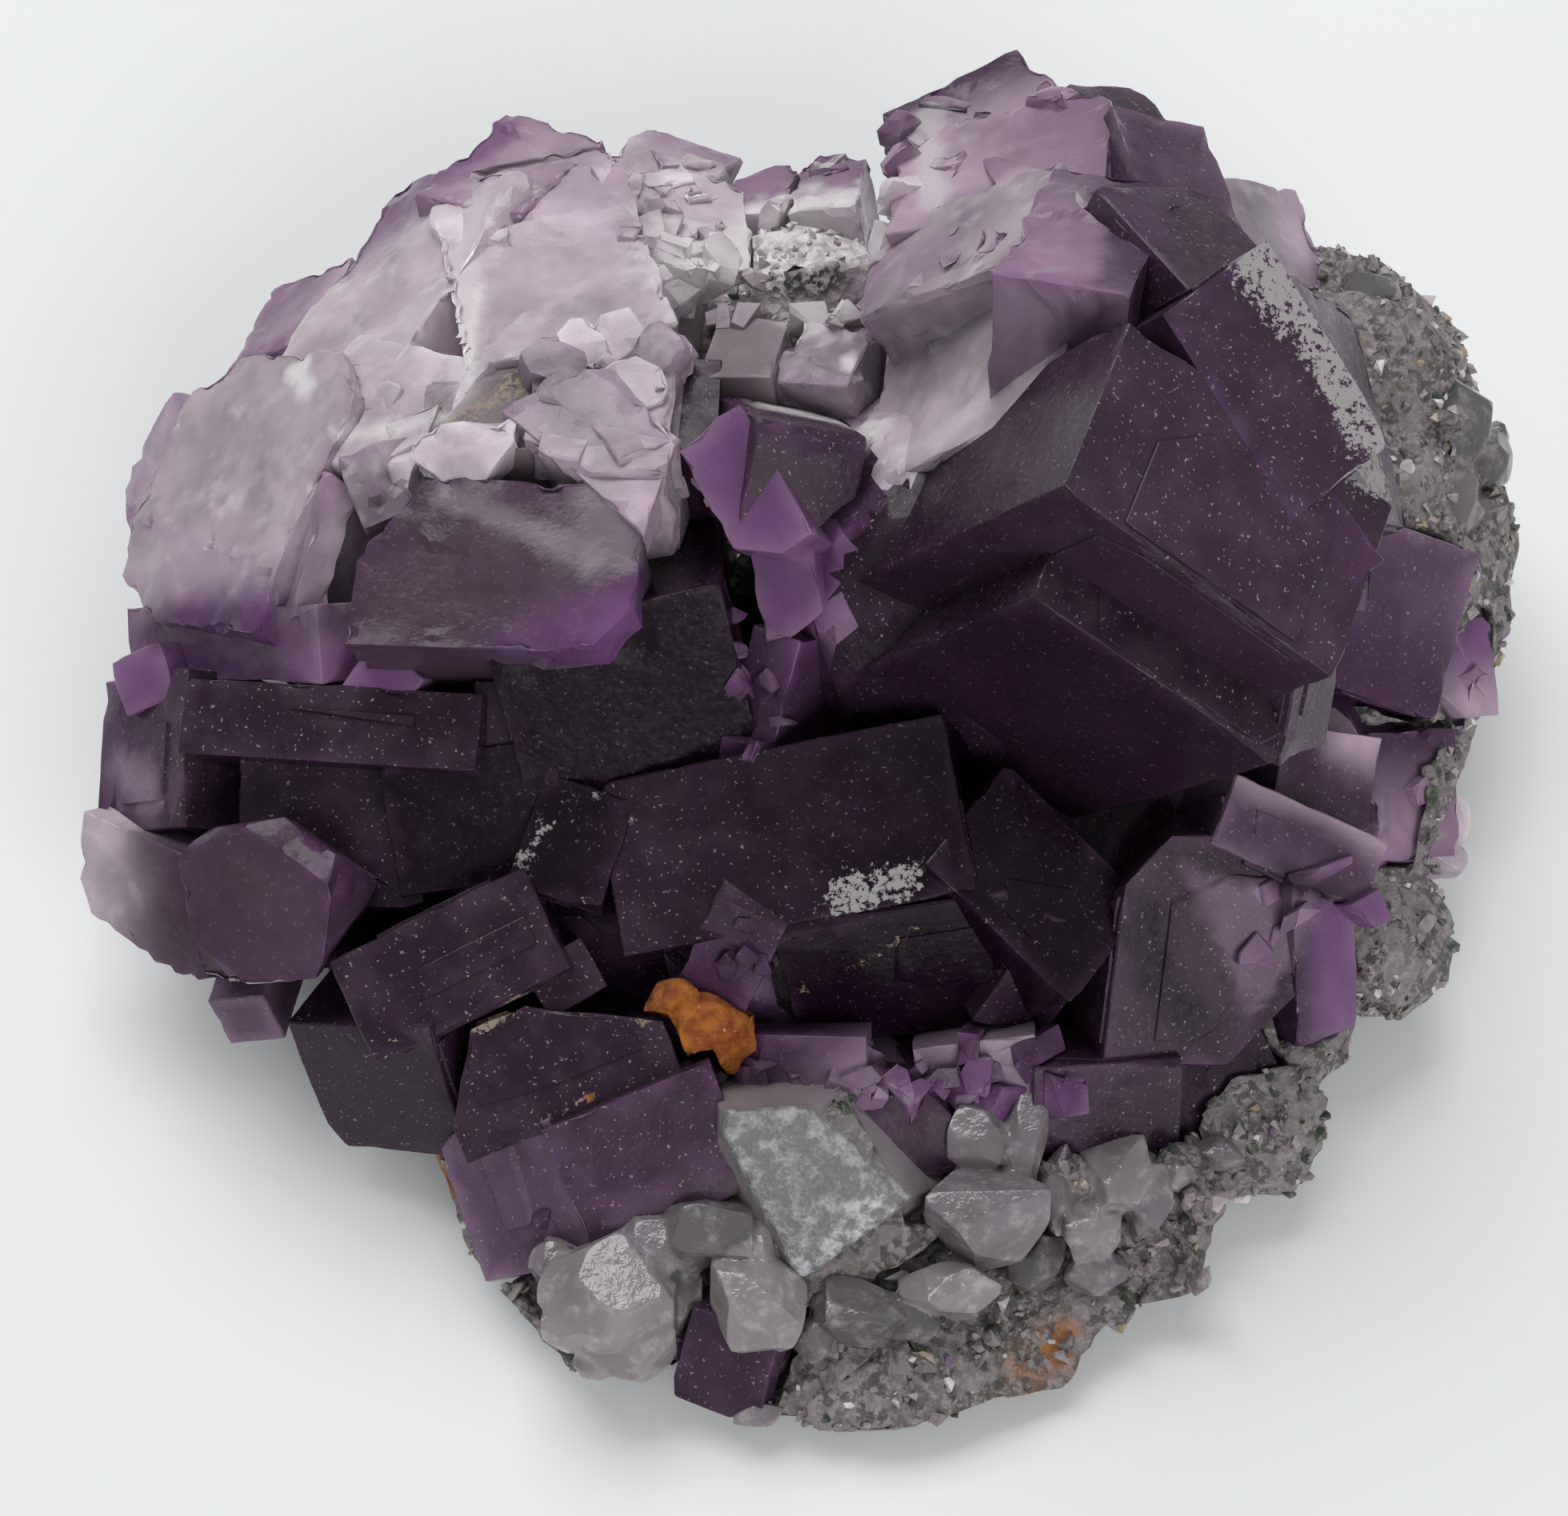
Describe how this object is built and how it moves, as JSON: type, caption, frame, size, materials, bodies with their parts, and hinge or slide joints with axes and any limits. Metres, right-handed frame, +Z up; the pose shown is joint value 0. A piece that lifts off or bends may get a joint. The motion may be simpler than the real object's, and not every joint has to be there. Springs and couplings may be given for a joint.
{
  "type": "fluorite crystal cluster",
  "caption": "Loose mineral specimen: intergrown purple fluorite cubes, broken pale on one side, on a slab of granular quartz rock with an iron clay stain.",
  "frame": {"origin": "centre of the bounding box in plan, on the flat underside that the cluster rests on", "axes": "+X along the longest extent, +Y towards the pale broken side, +Z up from the resting face"},
  "size_m": [0.0624, 0.057, 0.0308],
  "materials": {
    "fluorite": "translucent purple, dusty on upward faces, pale lilac where it is broken",
    "quartz_rock": "granular grey rock with frosty quartz crystals",
    "iron_clay": "matte earthy orange"
  },
  "bodies": {
    "root": {"fluorite_crystals": "fluorite", "quartz_matrix": "quartz_rock", "iron_clay": "iron_clay"}
  },
  "joints": []
}
